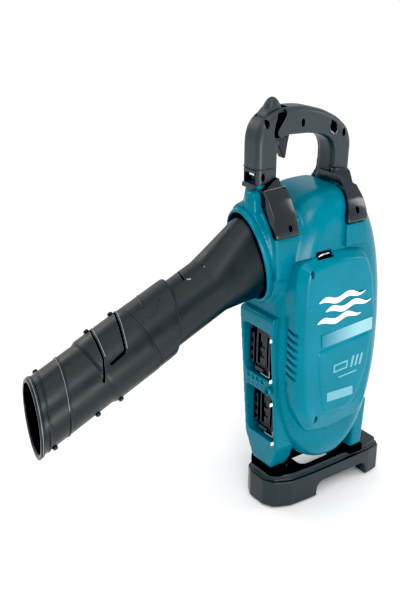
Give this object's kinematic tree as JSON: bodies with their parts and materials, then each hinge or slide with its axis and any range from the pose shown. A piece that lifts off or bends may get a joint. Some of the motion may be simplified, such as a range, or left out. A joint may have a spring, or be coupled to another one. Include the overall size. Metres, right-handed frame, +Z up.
{
  "type": "cordless leaf blower",
  "caption": "Handheld cordless leaf blower with a scroll housing, telescoping tube, top handle, two empty battery bays and a stand.",
  "frame": {"origin": "on the ground, at the centre of the stand's footprint, under the scroll housing", "axes": "+Z up; -X towards the nozzle; -Y the motor cover's side; +Y the intake side"},
  "size_m": [0.4604, 0.128, 0.483],
  "materials": {
    "teal_housing": "gloss moulded plastic",
    "teal_cover": "gloss moulded plastic",
    "tube_black": "satin moulded plastic",
    "handle_grey": "fine-grained plastic",
    "strap_black": "gloss plastic",
    "black_plastic": "satin plastic",
    "stand_grey": "fine-grained plastic",
    "rubber": "matt",
    "terminal_plastic": "satin plastic",
    "brass_blade": "stamped",
    "steel": "machined",
    "dark_steel": "blackened",
    "bright_steel": "polished",
    "can_metal": "cast",
    "winding": "enamelled wire and steel",
    "fan_plastic": "moulded",
    "board_green": "lacquered board"
  },
  "bodies": {
    "housing": {"housing_left": "teal_housing", "housing_right": "teal_housing", "outlet_collar": "teal_housing", "battery_holder": "teal_housing", "motor_cover": "teal_cover", "outlet_pipe": "tube_black", "handle_left": "handle_grey", "handle_right": "handle_grey", "front_strap": "strap_black", "rear_strap": "strap_black", "trigger_pin": "steel", "trigger_spring": "steel", "trigger_switch": "black_plastic", "lever_pin": "steel", "lever_sensor": "black_plastic", "terminal_block_upper": "terminal_plastic", "terminal_block_lower": "terminal_plastic", "terminal_blades": "brass_blade", "stand": "stand_grey", "stand_pads": "rubber", "strap_loop": "bright_steel", "grille_hinge_pin": "steel", "motor_can": "can_metal", "motor_stator": "winding", "bearing_inner": "bright_steel", "bearing_outer": "bright_steel", "controller_board": "board_green", "seal_ring": "rubber", "cover_screws": "dark_steel", "handle_screws": "dark_steel", "strap_screws": "dark_steel", "stand_screws": "steel", "housing_screws": "steel"},
    "sleeve": {"telescopic_sleeve": "tube_black"},
    "nozzle": {"front_nozzle": "tube_black"},
    "trigger": {"trigger": "black_plastic"},
    "speed_lever": {"speed_lever": "handle_grey"},
    "grille": {"intake_grille": "black_plastic"},
    "latch": {"latch_knob": "black_plastic"},
    "rotor": {"motor_shaft": "steel", "motor_rotor": "dark_steel", "impeller": "fan_plastic", "impeller_nut": "steel"}
  },
  "joints": [
    {"name": "nozzle_slide", "type": "slide", "parent": "housing", "child": "sleeve", "axis": [-0.9178, 0, -0.3971], "range_m": [-0.035, 0]},
    {"name": "nozzle_twist", "type": "hinge", "parent": "sleeve", "child": "nozzle", "pos_m": [-0.31291, 0, 0.23263], "axis": [-0.9178, 0, -0.3971], "range_deg": [0, 50]},
    {"name": "trigger_pull", "type": "hinge", "parent": "housing", "child": "trigger", "pos_m": [-0.078, 0, 0.449], "axis": [0, -1, 0], "range_deg": [0, 14], "stiffness_Nm_per_rad": 0.4, "springref_deg": -14.32, "deforming": ["trigger_spring"]},
    {"name": "lever_turn", "type": "hinge", "parent": "housing", "child": "speed_lever", "pos_m": [-0.086, 0, 0.462], "axis": [0, 1, 0], "range_deg": [-10, 25]},
    {"name": "grille_swing", "type": "hinge", "parent": "housing", "child": "grille", "pos_m": [0.044, 0.055, 0.206], "axis": [0, 0, -1], "range_deg": [0, 100]},
    {"name": "latch_turn", "type": "hinge", "parent": "grille", "child": "latch", "pos_m": [-0.016, 0.058, 0.146], "axis": [0, 1, 0], "range_deg": [0, 90]},
    {"name": "impeller_spin", "type": "hinge", "parent": "housing", "child": "rotor", "pos_m": [-0.016, 0, 0.206], "axis": [0, 1, 0], "continuous": true}
  ]
}
